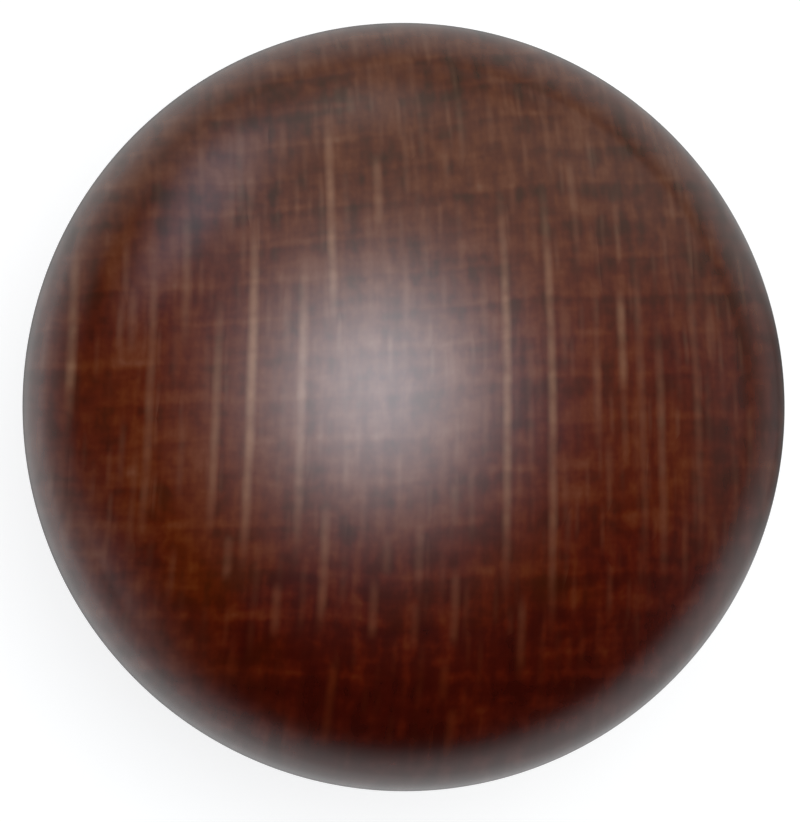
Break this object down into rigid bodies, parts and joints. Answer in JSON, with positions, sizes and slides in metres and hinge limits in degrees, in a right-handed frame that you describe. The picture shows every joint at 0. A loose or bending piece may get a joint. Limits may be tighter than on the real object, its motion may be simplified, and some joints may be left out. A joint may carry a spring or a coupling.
{
  "type": "turned wooden knob",
  "caption": "Round turned wooden knob with a domed face, a round rim, a coved neck and a flat foot, and a brass threaded insert pressed into its back.",
  "frame": {"origin": "centre of the foot's flat back face, on the knob's axis", "axes": "+Z along the knob's axis towards the dome; +Y along the wood's rays, upwards when the face is seen; +X to the right"},
  "size_m": [0.035, 0.035, 0.027],
  "materials": {
    "stained_beech": "dark red-brown stain under clear satin lacquer",
    "insert_brass": "plain machined"
  },
  "bodies": {
    "root": {"knob_body": "stained_beech", "threaded_insert": "insert_brass"}
  },
  "joints": []
}
